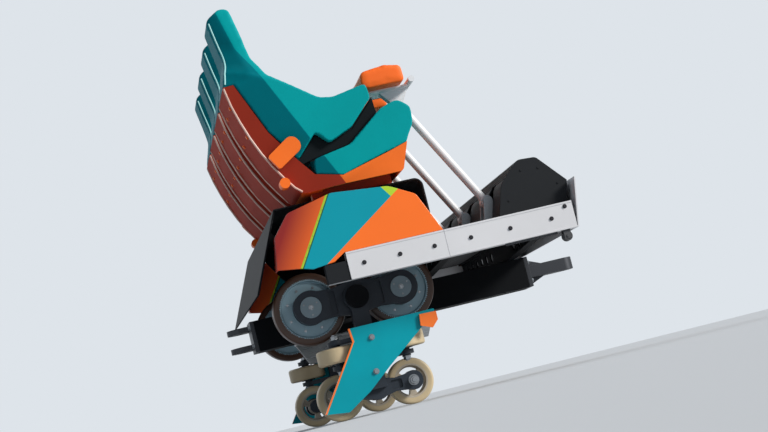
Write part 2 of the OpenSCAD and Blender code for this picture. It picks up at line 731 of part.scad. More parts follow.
module wheel_carrier(side) {
    fork_zs = [rail_z + guide_half + hub_gap, rail_z - guide_half - hub_gap - fork_t];
    guide_pin_d = pin_d - 10;
    lug_d = 44;
    cap_d = 96;
    cap_t = 6;
    color(STEEL) on_side(side) difference() {
        union() {
            dog_bone(road_base, axle_z, 78, 84, 62);
            dog_bone(upstop_base, upstop_z, 44, 50, 30);
            for (x = [-road_base / 2, road_base / 2])
                bar_y(x, axle_z, cap_d, beam_y + beam_t - 1, beam_y + beam_t + cap_t);
            block(-post_w / 2, post_w / 2, post_y, post_y + post_t, upstop_z, axle_z);
            bar_y(0, axle_z, axle_d + 50, beam_y, post_y + post_t);
            for (x = [-road_base / 2, road_base / 2]) stub_y(x, axle_z, pin_d, road_half);
            for (x = [-upstop_base / 2, upstop_base / 2]) stub_y(x, upstop_z, pin_d - 10, upstop_half);
            for (z = fork_zs) translate([0, 0, z]) linear_extrude(fork_t) union() {
                for (x = [-guide_base / 2, guide_base / 2]) translate([x, guide_y]) circle(r = 36);
                polygon([[-guide_base / 2, guide_y + 30], [guide_base / 2, guide_y + 30],
                         [guide_base / 2, guide_y - 30], [post_w / 2 + 20, post_y + 4],
                         [-post_w / 2 - 20, post_y + 4], [-guide_base / 2, guide_y - 30]]);
            }
            for (x = [-guide_base / 2, guide_base / 2]) translate([x, guide_y, fork_zs[1] - 6])
                cylinder(d = guide_pin_d, h = fork_zs[0] - fork_zs[1] + fork_t + 12);
            for (lug = [[0, rail_z + 41], [lug_d / 2 + 1 - post_w / 2, rail_z - 109]])
                bar_y(lug[0], lug[1], lug_d, post_y + post_t, cover_y);
        }
        bar_y(0, axle_z, axle_d + 0.1, beam_y - 1, post_y + post_t + 1);
    }
}

// Comma-shaped plate over the guide wheels, with its rear edge folded outwards
module cover_plate(side) {
    fold_out = 14;
    color(TEAL) on_side(side) union() {
        slab(cover_y, cover_y + cover_t, rounded([
            [-96, 24, 0], [312, 26, 6], [212, -54, 20], [46, -178, 60], [-60, -262, 60], [-172, -330, 14],
            [-280, -316, 0], [-90, -36, 0]
        ]));
        slab(cover_y, cover_y + cover_t + fold_out, [
            [-96, 24], [-88, 24], [-82, -36], [-272, -316], [-280, -316], [-90, -36]
        ]);
        slab(cover_y + cover_t - 1, cover_y + cover_t + fold_out, [
            [228, 14], [304, 12], [304, -26], [274, -56], [222, -36]
        ]);
    }
}

spine_beam();
axle_beam();
outriggers();
front_coupling();
rear_coupling();
brake_fin();
rear_skirt();
floor_deck();
foot_rest();
seat_base();
seat_apron();
sill(RIGHT);  // sill_right
sill(LEFT);  // sill_left
fairing(RIGHT);  // fairing_right
fairing(LEFT);  // fairing_left
seat_shell(seat_ys[0]);  // seat_shell_1
seat_shell(seat_ys[1]);  // seat_shell_2
seat_shell(seat_ys[2]);  // seat_shell_3
seat_shell(seat_ys[3]);  // seat_shell_4
back_pad(seat_ys[0]);  // back_pad_1
back_pad(seat_ys[1]);  // back_pad_2
back_pad(seat_ys[2]);  // back_pad_3
back_pad(seat_ys[3]);  // back_pad_4
seat_cushion(seat_ys[0]);  // seat_cushion_1
seat_cushion(seat_ys[1]);  // seat_cushion_2
seat_cushion(seat_ys[2]);  // seat_cushion_3
seat_cushion(seat_ys[3]);  // seat_cushion_4
lap_arm(seat_ys[0]);  // lap_arm_1
lap_arm(seat_ys[1]);  // lap_arm_2
lap_arm(seat_ys[2]);  // lap_arm_3
lap_arm(seat_ys[3]);  // lap_arm_4
lap_pad(seat_ys[0]);  // lap_pad_1
lap_pad(seat_ys[1]);  // lap_pad_2
lap_pad(seat_ys[2]);  // lap_pad_3
lap_pad(seat_ys[3]);  // lap_pad_4
wheel_carrier(RIGHT);  // wheel_carrier_right
wheel_carrier(LEFT);  // wheel_carrier_left
cover_plate(RIGHT);  // cover_plate_right
cover_plate(LEFT);  // cover_plate_left
road_wheel(RIGHT, FRONT);  // road_wheel_right_front
road_wheel(RIGHT, REAR);  // road_wheel_right_rear
road_wheel(LEFT, FRONT);  // road_wheel_left_front
road_wheel(LEFT, REAR);  // road_wheel_left_rear
guide_wheel(RIGHT, FRONT);  // guide_wheel_right_front
guide_wheel(RIGHT, REAR);  // guide_wheel_right_rear
guide_wheel(LEFT, FRONT);  // guide_wheel_left_front
guide_wheel(LEFT, REAR);  // guide_wheel_left_rear
upstop_wheel(RIGHT, FRONT);  // upstop_wheel_right_front
upstop_wheel(RIGHT, REAR);  // upstop_wheel_right_rear
upstop_wheel(LEFT, FRONT);  // upstop_wheel_left_front
upstop_wheel(LEFT, REAR);  // upstop_wheel_left_rear
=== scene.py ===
"""Looks of the roller coaster car: finishes, rounded edges, fasteners and padding.

The sections follow the car as it is put together, from the chassis up to the lap bars.
Metres, X forward, Y to the left, Z up, origin between the rails level with their tops.
"""

import json
import math

import bmesh
import bpy
from mathutils import Matrix, Vector
from mathutils.bvhtree import BVHTree


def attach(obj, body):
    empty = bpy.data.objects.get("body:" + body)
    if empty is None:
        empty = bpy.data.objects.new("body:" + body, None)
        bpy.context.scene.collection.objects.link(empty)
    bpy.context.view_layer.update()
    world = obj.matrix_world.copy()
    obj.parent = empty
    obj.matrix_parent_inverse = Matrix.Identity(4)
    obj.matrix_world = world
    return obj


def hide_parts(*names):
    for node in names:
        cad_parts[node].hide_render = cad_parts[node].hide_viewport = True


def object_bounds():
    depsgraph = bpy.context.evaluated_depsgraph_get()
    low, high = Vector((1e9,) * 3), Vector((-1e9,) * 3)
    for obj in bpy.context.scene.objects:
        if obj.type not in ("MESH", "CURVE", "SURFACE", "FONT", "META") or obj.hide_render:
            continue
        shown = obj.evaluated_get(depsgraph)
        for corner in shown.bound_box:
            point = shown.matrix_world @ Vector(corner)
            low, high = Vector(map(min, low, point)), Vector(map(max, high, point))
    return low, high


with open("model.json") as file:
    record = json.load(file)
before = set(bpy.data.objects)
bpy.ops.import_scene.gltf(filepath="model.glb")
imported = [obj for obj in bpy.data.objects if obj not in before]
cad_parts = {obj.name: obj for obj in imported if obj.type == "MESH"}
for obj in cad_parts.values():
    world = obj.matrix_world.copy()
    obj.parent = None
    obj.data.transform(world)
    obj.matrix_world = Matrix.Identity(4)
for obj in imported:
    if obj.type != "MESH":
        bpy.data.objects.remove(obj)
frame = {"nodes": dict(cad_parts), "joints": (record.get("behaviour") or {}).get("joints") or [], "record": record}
cad_box = [list(corner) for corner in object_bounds()]
bpy.context.scene.view_settings.view_transform = "Standard"


# Chassis: spine, cross beam, outriggers, seat frame and rear bulkhead. Welded steel box and
# plate, sand-blasted, powder coated and bolted together. The coat's near-black, dull colour is
# painted shade: all of it lies in shade under the seats and the deck.

def srgb(r, g, b):
    """Colour on the usual 0 to 255 scale, made linear for a shader."""
    def linear(value):
        return ((value / 255 + 0.055) / 1.055) ** 2.4 if value > 10 else value / 255 / 12.92
    return linear(r), linear(g), linear(b), 1.0


def add_node(tree, kind, inputs=None, **settings):
    """Adds a shader node, sets its properties, and sets or links its inputs by name or number."""
    node = tree.nodes.new(kind)
    for key, value in settings.items():
        setattr(node, key, value)
    for key, value in (inputs or {}).items():
        if isinstance(value, bpy.types.NodeSocket):
            tree.links.new(value, node.inputs[key])
        else:
            node.inputs[key].default_value = value
    return node


def new_group(name, inputs, outputs):
    """Starts a shader node group with named float or colour sockets."""
    tree = bpy.data.node_groups.new(name, "ShaderNodeTree")
    for label, value in inputs.items():
        kind = "NodeSocketColor" if isinstance(value, tuple) else "NodeSocketFloat"
        tree.interface.new_socket(label, in_out="INPUT", socket_type=kind).default_value = value
    for label, kind in outputs.items():
        tree.interface.new_socket(label, in_out="OUTPUT", socket_type=kind)
    return tree, tree.nodes.new("NodeGroupInput"), tree.nodes.new("NodeGroupOutput")


def object_noise(tree, scale, stretch=(1, 1, 1), detail=4.0, roughness=0.55):
    """Noise in the part's own coordinates, metres, stretched along an axis where that is asked."""
    place = add_node(tree, "ShaderNodeTexCoord")
    mapping = add_node(tree, "ShaderNodeMapping",
                       {"Vector": place.outputs["Object"], "Scale": stretch})
    noise = add_node(tree, "ShaderNodeTexNoise",
                     {"Vector": mapping.outputs["Vector"], "Scale": scale, "Detail": detail,
                      "Roughness": roughness})
    return noise.outputs["Fac"]


def ramp(tree, value, low, high, to_low=0.0, to_high=1.0):
    """Maps a value from one range to another and holds it there."""
    mapped = add_node(tree, "ShaderNodeMapRange",
                      {"Value": value, "From Min": low, "From Max": high, "To Min": to_low,
                       "To Max": to_high})
    return mapped.outputs["Result"]


def times(tree, a, b):
    """Product of two values."""
    return add_node(tree, "ShaderNodeMath", {0: a, 1: b}, operation="MULTIPLY").outputs[0]


def blend_colour(tree, mask, under, over):
    """Lays one colour over another where the mask is 1."""
    mix = add_node(tree, "ShaderNodeMix", {"Factor": mask}, data_type="RGBA")
    for number, colour in ((6, under), (7, over)):
        if isinstance(colour, bpy.types.NodeSocket):
            tree.links.new(colour, mix.inputs[number])
        else:
            mix.inputs[number].default_value = colour
    return mix.outputs[2]


def track_dust_group():
    """Grey dust that settles on upward faces, and faint mottling of the paint everywhere."""
    tree, given, made = new_group("Track dust", {"Amount": 0.5},
                                  {"Dust": "NodeSocketFloat", "Mottle": "NodeSocketFloat"})
    normal = add_node(tree, "ShaderNodeNewGeometry").outputs["Normal"]
    up = add_node(tree, "ShaderNodeSeparateXYZ", {0: normal}).outputs[2]
    patches = ramp(tree, object_noise(tree, 11.0, detail=7.0, roughness=0.6), 0.30, 0.95)
    settled = times(tree, ramp(tree, up, 0.35, 1.0, 0.02, 1.0), patches)
    tree.links.new(times(tree, settled, given.outputs["Amount"]), made.inputs["Dust"])
    tree.links.new(ramp(tree, object_noise(tree, 3.2, detail=3.0), 0.3, 0.7), made.inputs["Mottle"])
    return tree


def fine_grain_group():
    """Bump of sprayed paint, cast iron or moulded skin, with a grain size and height for each."""
    tree, given, made = new_group("Fine grain", {"Scale": 300.0, "Height": 0.2},
                                  {"Normal": "NodeSocketVector"})
    place = add_node(tree, "ShaderNodeTexCoord").outputs["Object"]
    grain = add_node(tree, "ShaderNodeTexNoise",
                     {"Vector": place, "Scale": given.outputs["Scale"], "Detail": 3.0})
    bump = add_node(tree, "ShaderNodeBump",
                    {"Height": grain.outputs["Fac"], "Strength": given.outputs["Height"],
                     "Distance": 0.001})
    tree.links.new(bump.outputs["Normal"], made.inputs["Normal"])
    return tree


def worn_edge_group():
    """Chipped rims: the rounded edges carry the attribute worn, and noise breaks it up."""
    tree, given, made = new_group("Worn edges", {"Amount": 0.5}, {"Chips": "NodeSocketFloat"})
    rim = add_node(tree, "ShaderNodeAttribute", attribute_name="worn").outputs["Fac"]
    broken = ramp(tree, object_noise(tree, 42.0, detail=6.0, roughness=0.7), 0.52, 0.60)
    chips = times(tree, times(tree, rim, broken), given.outputs["Amount"])
    tree.links.new(chips, made.inputs["Chips"])
    return tree


TRACK_DUST = track_dust_group()
FINE_GRAIN = fine_grain_group()
WORN_EDGES = worn_edge_group()
PRIMER, DUST_GREY, OIL_DUST = srgb(70, 72, 75), srgb(150, 142, 130), srgb(96, 88, 78)


def new_material(name):
    """Starts a material and returns it with its nodes and its main shader."""
    material = bpy.data.materials.new(name)
    material.use_nodes = True
    return material, material.node_tree, material.node_tree.nodes["Principled BSDF"]


def painted(name, colour, roughness, grain, dust, chips, under=PRIMER, coat=0.0, shade=0.82,
            gloss=0.5):
    """Coated finish: mottled colour, chips on the rims, dust on top, fine texture of the coat.
    grain is its size per metre and its height, shade the mottling's darker tone."""
    material, tree, shader = new_material(name)
    shader.inputs["Coat Weight"].default_value = coat
    shader.inputs["Coat Roughness"].default_value = 0.08
    shader.inputs["Specular IOR Level"].default_value = gloss
    size, height = grain
    weather = add_node(tree, "ShaderNodeGroup", {"Amount": dust}, node_tree=TRACK_DUST)
    rims = add_node(tree, "ShaderNodeGroup", {"Amount": chips}, node_tree=WORN_EDGES)
    texture = add_node(tree, "ShaderNodeGroup", {"Scale": size, "Height": height},
                       node_tree=FINE_GRAIN)
    darker = tuple(v * shade for v in colour[:3]) + (1.0,)
    paint = blend_colour(tree, weather.outputs["Mottle"], colour, darker)
    paint = blend_colour(tree, rims.outputs["Chips"], paint, under)
    paint = blend_colour(tree, weather.outputs["Dust"], paint, DUST_GREY)
    tree.links.new(paint, shader.inputs["Base Color"])
    dull = ramp(tree, weather.outputs["Dust"], 0.0, 0.6, roughness, 0.85)
    tree.links.new(dull, shader.inputs["Roughness"])
    tree.links.new(texture.outputs["Normal"], shader.inputs["Normal"])
    return material


def bare_metal(name, colour, roughness, brush=(1, 1, 1), dust=0.35):
    """Bare or plated metal: streaks that vary its roughness, and dull dust in patches."""
    material, tree, shader = new_material(name)
    weather = add_node(tree, "ShaderNodeGroup", {"Amount": dust}, node_tree=TRACK_DUST)
    streaks = object_noise(tree, 160.0, stretch=brush, detail=2.0)
    darker = tuple(v * 0.7 for v in colour[:3]) + (1.0,)
    tone = blend_colour(tree, streaks, colour, darker)
    tone = blend_colour(tree, weather.outputs["Dust"], tone, OIL_DUST)
    tree.links.new(tone, shader.inputs["Base Color"])
    bare = ramp(tree, weather.outputs["Dust"], 0.0, 1.0, 1.0, 0.2)
    tree.links.new(bare, shader.inputs["Metallic"])
    rubbed = ramp(tree, streaks, 0.2, 0.8, roughness - 0.08, roughness + 0.12)
    tree.links.new(rubbed, shader.inputs["Roughness"])
    bump = add_node(tree, "ShaderNodeBump",
                    {"Height": streaks, "Strength": 0.15, "Distance": 0.0005})
    tree.links.new(bump.outputs["Normal"], shader.inputs["Normal"])
    return material


def put_in_scene(name, data):
    """Makes an object of a mesh, lamp or camera and links it to the scene."""
    thing = bpy.data.objects.new(name, data)
    bpy.context.scene.collection.objects.link(thing)
    return thing


def mesh_of(bm, name):
    """Turns a finished bmesh into a mesh."""
    mesh = bpy.data.meshes.new(name)
    bm.to_mesh(mesh)
    bm.free()
    return mesh


def merged(node):
    """Bmesh of a CAD node with its loose triangles joined at their corners."""
    bm = bmesh.new()
    bm.from_mesh(frame["nodes"][node].data)
    bmesh.ops.remove_doubles(bm, verts=bm.verts, dist=2e-5)
    return bm


def rounded_copy(node, width, segments, crease, joined):
    """Copy of a CAD node with flat faces in one piece and its sharp edges rounded. Faces on the
    rounded rims carry the attribute worn. Turned pieces keep their triangles (joined is False),
    since a ring can't be one face."""
    bm = merged(node)
    if joined:
        bmesh.ops.dissolve_limit(bm, angle_limit=math.radians(0.5), verts=bm.verts, edges=bm.edges)
    bm.normal_update()
    rim = bm.faces.layers.float.new("worn")
    sharp = [e for e in bm.edges
             if len(e.link_faces) == 2 and e.calc_face_angle(0.0) > math.radians(crease)]
    made = bmesh.ops.bevel(bm, geom=sharp, offset=width, offset_type="OFFSET", segments=segments,
                           profile=0.5, affect="EDGES", material=-1, clamp_overlap=True,
                           loop_slide=True)
    for face in made["faces"]:
        face[rim] = 1.0
    return bm


def into_piece(bm, name, body, materials, crease=35, weighted=True):
    """Makes a finished bmesh a piece of the car that moves with a body."""
    mesh = mesh_of(bm, name)
    for face in mesh.polygons:
        face.use_smooth = True
    mesh.set_sharp_from_angle(angle=math.radians(crease))
    for material in materials:
        mesh.materials.append(material)
    piece = put_in_scene(name, mesh)
    if weighted:
        piece.modifiers.new("flat faces", "WEIGHTED_NORMAL").keep_sharp = True
    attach(piece, body)
    return piece


BODY_OF = {node: body for body, nodes in frame["record"]["behaviour"]["bodies"].items()
           for node in nodes}


def dress(node, materials, width, segments=2, crease=30, choose=None, joined=True):
    """Rounds a CAD node's edges, gives it its finish, and lets the result stand for the node.
    choose picks a material number for a face from its middle and its normal."""
    bm = rounded_copy(node, width, segments, crease, joined)
    if choose:
        for face in bm.faces:
            face.material_index = choose(face.calc_center_median(), face.normal)
    piece = into_piece(bm, node + ".finish", BODY_OF[node], materials)
    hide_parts(node)


# Painted shade: near black and dull, as the underside of the car lies in shade
frame_shade_black = painted("frame shade black", srgb(20, 22, 25), roughness=0.6, grain=(700.0, 0.25), dust=0.2,
                      chips=0.4, gloss=0.05)
for node in ("spine_beam", "axle_beam", "outriggers", "seat_base", "rear_skirt"):
    dress(node, [frame_shade_black], 0.003)


# Couplings and brake fin: oiled steel, made very dark as painted shade of the underside, and a
# galvanised fin. The fin is bolted under the spine and polished by the brakes, the coupling
# plates are bolted to the spine's ends.

galvanised = bare_metal("galvanised steel", srgb(150, 155, 160), roughness=0.42)
# Painted shade: the couplings' steel is made very dark for the shade under the car
shaded_oiled = bare_metal("oiled steel in painted shade", srgb(70, 72, 76), roughness=0.45, dust=0.3)
fin_steel = bare_metal("rubbed steel", srgb(176, 178, 180), roughness=0.28, brush=(0.02, 1, 1),
                       dust=0.2)
for node, steel in (("front_coupling", shaded_oiled), ("rear_coupling", shaded_oiled), ("brake_fin", fin_steel)):
    dress(node, [steel], 0.002)


def standing(at, axis):
    """Place and turn of a piece that stands out of a face along axis."""
    turn = Vector((0, 0, 1)).rotation_difference(Vector(axis)).to_matrix().to_4x4()
    return Matrix.Translation(Vector(at)) @ turn


def bolt(bm, at, axis, size, head=0.62, washer=True):
    """Hexagon bolt head on its washer, standing out of a face along axis. size is about the
    washer's radius, head the height of the head in sizes."""
    place = standing(at, axis)
    lift = 0.0
    if washer:
        thick = size * 0.12
        bmesh.ops.create_cone(bm, cap_ends=True, segments=20, radius1=size * 1.05,
                              radius2=size * 1.02, depth=thick,
                              matrix=place @ Matrix.Translation((0, 0, thick / 2)))
        lift = thick
    high = size * head
    made = bmesh.ops.create_cone(bm, cap_ends=True, segments=6, radius1=size * 0.86,
                                 radius2=size * 0.86, depth=high,
                                 matrix=place @ Matrix.Translation((0, 0, lift + high / 2)))
    top = [e for e in bm.edges if all(v in made["verts"] for v in e.verts)
           and all((place.inverted() @ v.co).z > lift + high * 0.9 for v in e.verts)]
    bmesh.ops.bevel(bm, geom=top, offset=size * 0.08, offset_type="OFFSET", segments=1, profile=0.5,
                    affect="EDGES", material=-1, clamp_overlap=True)


def bolt_ring(bm, centre, side, radius, count, first, size, washer=True):
    """Ring of bolts on a face that looks to the car's right or left, from the angle first on."""
    x, y, z = centre
    for k in range(count):
        turn = math.radians(360 / count * k + first)
        at = (x + radius * math.cos(turn), y, z + radius * math.sin(turn))
        bolt(bm, at, (0, side, 0), size, washer=washer)


FRONT_PLATE_X, REAR_PLATE_X, PLATE_BOLTS_Y, PLATE_BOLTS_Z = 0.96, -0.45, 0.068, (0.085, 0.175)
FIN_FLANGE_Z, FIN_BOLTS_X, FIN_BOLTS_Y = 0.045, (-0.21, -0.03, 0.20, 0.41), 0.036
bm = bmesh.new()
for z in PLATE_BOLTS_Z:
    for y in (-PLATE_BOLTS_Y, PLATE_BOLTS_Y):
        bolt(bm, (FRONT_PLATE_X, y, z), (1, 0, 0), 0.013)
        bolt(bm, (REAR_PLATE_X, y, z), (-1, 0, 0), 0.013)
for x in FIN_BOLTS_X:
    for y in (-FIN_BOLTS_Y, FIN_BOLTS_Y):
        bolt(bm, (x, y, FIN_FLANGE_Z), (0, 0, -1), 0.011)
into_piece(bm, "coupling_bolts", "chassis", [galvanised], weighted=False)


# Wheel carriers: one dark casting on each side that wraps round the rail, with round caps over
# the road wheels' axles, forks for the guide wheels and castle nuts on the other axle ends.

carrier_dark = painted("carrier dark", srgb(38, 46, 56), under=srgb(110, 112, 114), roughness=0.45,
                       grain=(260.0, 0.5), dust=0.45, chips=0.5, gloss=0.3)
axle_steel = bare_metal("axle steel", srgb(160, 164, 168), roughness=0.3)
cap_grey = painted("cap grey", srgb(122, 142, 152), roughness=0.38, grain=(260.0, 0.2), dust=0.3,
                   chips=0.3)
RIGHT, LEFT = -1, 1
SIDES = {"right": RIGHT, "left": LEFT}
ENDS = ("front", "rear")
CAP_FOOT_Y, CAP_Y, UPPER_BEAM_Z, CAP_BOLT_RING = 0.6620, 0.6675, 0.11, 0.034
UPSTOP_END_Y, GUIDE_PIN_HALF = 0.6615, 0.071
JOINTS = {joint["child"]: joint for joint in frame["joints"]}


def axle_of(body, y=None):
    """Middle of the axle that a body turns on, or the place on that axle at y."""
    place = Vector(JOINTS[body]["pos_m"])
    if y is not None:
        place.y = y
    return place


def carrier_face(middle, normal):
    """Axle caps, grey, stand out of the upper beam's outer face."""
    return 1 if CAP_FOOT_Y < abs(middle.y) < CAP_Y + 0.0005 and middle.z > UPPER_BEAM_Z else 0


def axle_end(bm, at, axis, size):
    """Washer, castle nut and the end of the axle standing out of it."""
    bolt(bm, at, axis, size, head=0.75)
    bmesh.ops.create_cone(bm, cap_ends=True, segments=24, radius1=size * 0.5, radius2=size * 0.42,
                          depth=size * 0.3,
                          matrix=standing(at, axis) @ Matrix.Translation((0, 0, size * 0.97)))


for side, s in SIDES.items():
    dress(f"wheel_carrier_{side}", [carrier_dark, cap_grey], 0.003, choose=carrier_face)
    bm = bmesh.new()
    for end in ENDS:
        cap = axle_of(f"road_wheel_{side}_{end}", s * CAP_Y)
        bolt(bm, cap, (0, s, 0), 0.012)
        bolt_ring(bm, cap, s, CAP_BOLT_RING, 3, 30, 0.005, washer=False)
        axle_end(bm, axle_of(f"upstop_wheel_{side}_{end}", s * UPSTOP_END_Y), (0, s, 0), 0.024)
        pin = axle_of(f"guide_wheel_{side}_{end}")
        for up in (1, -1):
            axle_end(bm, pin + Vector((0, 0, up * GUIDE_PIN_HALF)), (0, 0, up), 0.020)
    into_piece(bm, f"axle_nuts_{side}", f"bogie_{side}", [axle_steel],
               weighted=False)


# Wheels: aluminium and cast hubs with a thick tread of cast polyurethane, dark on the road
# wheels and pale on the guide and upstop wheels. Each spins on its own stub axle.

def turned(name, colour, roughness, grain, dust, patch):
    """Finish of a wheel's face or tread: fine texture, and patches of rubbed-off dirt."""
    return painted(name, colour, roughness=roughness, grain=grain, dust=dust, chips=0.0,
                   shade=patch)


tread_amber = turned("tread dark", srgb(74, 46, 30), 0.38, (180.0, 0.3), 0.35, 0.5)
tread_cream = turned("tread pale", srgb(205, 186, 150), 0.45, (180.0, 0.3), 0.45, 0.72)
disc_grey = turned("wheel disc", srgb(150, 182, 196), 0.35, (320.0, 0.25), 0.2, 0.85)
hub_dark = turned("wheel hub", srgb(44, 54, 62), 0.4, (320.0, 0.25), 0.25, 0.7)
upstop_grey = turned("upstop casting", srgb(186, 176, 160), 0.42, (260.0, 0.4), 0.4, 0.75)
WEB_Y, WEB_BOLT_RING = 0.5765, 0.100
WHEELS = {  # radius of the disc's rim, radius of the hub, finishes of tread, disc and hub
    "road_wheel": (0.1345, 0.052, [tread_amber, disc_grey, hub_dark]),
    "guide_wheel": (0.066, 0.034, [tread_cream, hub_dark, axle_steel]),
    "upstop_wheel": (0.076, 0.034, [tread_cream, upstop_grey, hub_dark]),
}


def ring_of(wheel, rim, hub):
    """Says which ring of a wheel a face is on: 0 tread, 1 disc, 2 hub."""
    centre, along = axle_of(wheel), Vector(JOINTS[wheel]["axis"])

    def choose(middle, normal):
        off = (middle - centre).cross(along).length
        return 0 if off > rim else 1 if off > hub else 2
    return choose


# Small bolts through each road wheel's web, on the face that shows
for side, s in SIDES.items():
    for end in ENDS:
        wheel = f"road_wheel_{side}_{end}"
        bm = bmesh.new()
        bolt_ring(bm, axle_of(wheel, s * WEB_Y), s, WEB_BOLT_RING, 8, 22.5, 0.006)
        into_piece(bm, f"web_bolts_{side}_{end}", wheel, [axle_steel],
                   weighted=False)

for kind, (rim, hub, finishes) in WHEELS.items():
    for side in SIDES:
        for end in ENDS:
            wheel = f"{kind}_{side}_{end}"
            dress(wheel, finishes, 0.0015, choose=ring_of(wheel, rim, hub), joined=False)


# Cover plates: teal painted steel, cut to a comma shape, with the rear edge and a tab at the
# front folded outwards and painted orange. Two bolts hold each to the carrier's lugs.

cover_teal = painted("cover teal", srgb(0, 156, 172), roughness=0.3, grain=(300.0, 0.08), dust=0.15,
                     chips=0.7, coat=0.05, gloss=0.15)
cover_orange = painted("cover orange", srgb(252, 124, 46), roughness=0.3, grain=(300.0, 0.08),
                       dust=0.2, chips=0.7, coat=0.15, gloss=0.3)
COVER_Y = 0.831
COVER_BOLTS = ((0.0, -0.034), (-0.016, -0.184))


def cover_face(middle, normal):
    """The folded strip and the tab stand out of the plate."""
    return 1 if abs(middle.y) > COVER_Y + 0.0002 else 0


for side, s in SIDES.items():
    dress(f"cover_plate_{side}", [cover_teal, cover_orange], 0.0012, choose=cover_face)
    bm = bmesh.new()
    for x, z in COVER_BOLTS:
        bolt(bm, (x, s * COVER_Y, z), (0, s, 0), 0.013)
    into_piece(bm, f"cover_bolts_{side}", f"bogie_{side}", [galvanised],
               weighted=False)


# Deck: aluminium plate with a black anti-slip coat between the white fascia and the seats,
# and the steel lugs of the lap bars welded on top.

sill_white = painted("sill white", srgb(214, 215, 219), under=srgb(150, 150, 150), roughness=0.3,
                     grain=(500.0, 0.1), dust=0.3, chips=0.5, shade=0.93)
grip_black = painted("anti-slip coat", srgb(30, 31, 34), roughness=0.85, grain=(900.0, 1.0),
                     dust=0.6, chips=0.3)
LUGS_X, LUG_FOOT_Z, FASCIA_X, PLATE_Z = 0.9, 0.3265, 0.985, 0.3


def deck_face(middle, normal):
    """White fascia in front, black coat on the plate, steel lugs above it."""
    if middle.z > LUG_FOOT_Z and middle.x < LUGS_X:
        return 2
    return 1 if middle.x < FASCIA_X and PLATE_Z < middle.z < LUG_FOOT_Z else 0


dress("floor_deck", [sill_white, grip_black, galvanised], 0.0012, choose=deck_face)


# Foot rest and seat apron: thermoformed black plastic with a leather-like grain, screwed down
# along their edges. Ribs across the foot rest keep shoes from slipping.

moulded_black = painted("moulded black", srgb(26, 29, 33), roughness=0.6, grain=(520.0, 0.55),
                        dust=0.25, chips=0.0, gloss=0.15)
FOOT_REST_END_Y = 0.986
FOOT_REST_SCREWS = ((0.715, 0.400), (0.800, 0.520), (0.880, 0.515), (0.950, 0.430))
SLOPE_FOOT, SLOPE_TOP = Vector((0.698, 0, 0.480)), Vector((0.795, 0, 0.570))


def foot_face(middle, normal):
    """The ribs stand out of the slope between its foot and its top."""
    along = SLOPE_TOP - SLOPE_FOOT
    out = Vector((-along.z, 0, along.x)).normalized()
    return 1 if (middle - SLOPE_FOOT).dot(out) > 0.001 else 0


dress("foot_rest", [moulded_black, grip_black], 0.002, choose=foot_face)
dress("seat_apron", [moulded_black], 0.002)

bm = bmesh.new()
for s in (RIGHT, LEFT):
    for x, z in FOOT_REST_SCREWS:
        bolt(bm, (x, s * FOOT_REST_END_Y, z), (0, s, 0), 0.006, head=0.35)
into_piece(bm, "foot_rest_screws", "chassis", [moulded_black], weighted=False)


# Sills: white powder coated aluminium sections in two lengths, held by seven dark bolts a side,
# with a rubber roller for the station gate and a plain strip below.

roller_rubber = painted("roller rubber", srgb(66, 68, 72), roughness=0.7, grain=(600.0, 0.3),
                        dust=0.4, chips=0.0)
bolt_dark = bare_metal("blackened bolts", srgb(60, 60, 64), roughness=0.45)
END_BLOCK_X, STRIP_Z, SILL_Y = -0.0565, 0.2145, 1.0478
SILL_BOLTS = ((0.014, 0.275), (0.174, 0.275), (0.329, 0.275), (0.494, 0.275), (0.674, 0.275),
              (0.864, 0.275), (0.935, 0.315))


def sill_face(middle, normal):
    """White section, dark end block behind it, grey strip and roller below it."""
    if middle.x < END_BLOCK_X:
        return 1
    return 2 if middle.z < STRIP_Z else 0


for side, s in SIDES.items():
    dress(f"sill_{side}", [sill_white, moulded_black, roller_rubber], 0.004, segments=3,
          choose=sill_face)
    bm = bmesh.new()
    for x, z in SILL_BOLTS:
        bolt(bm, (x, s * SILL_Y, z), (0, s, 0), 0.0095, head=0.5)
    into_piece(bm, f"sill_bolts_{side}", "chassis", [bolt_dark], weighted=False)


# Fairings: gloss painted moulding over each end of the seat base, orange in front and at the
# rear, with a teal band between, edged in lime and by a dark line. Behind the lime stripe the
# rear facet darkens from orange to red away from the stripe: painted shade.

def slanted(tree, x, z, nx, nz):
    """Distance in side view along the direction nx, nz."""
    parts = {0: times(tree, x, nx), 1: times(tree, z, nz)}
    return add_node(tree, "ShaderNodeMath", parts, operation="ADD").outputs[0]


PAINT_EDGE_HALF = 0.0008


def beyond_line(tree, x, z, start, end):
    """1 on the side view's right of the line from start to end, else 0, with a crisp paint edge."""
    (x0, z0), (x1, z1) = start, end
    length = math.hypot(x1 - x0, z1 - z0)
    nx, nz = (z1 - z0) / length, -(x1 - x0) / length
    edge = nx * x0 + nz * z0
    return ramp(tree, slanted(tree, x, z, nx, nz), edge - PAINT_EDGE_HALF, edge + PAINT_EDGE_HALF)


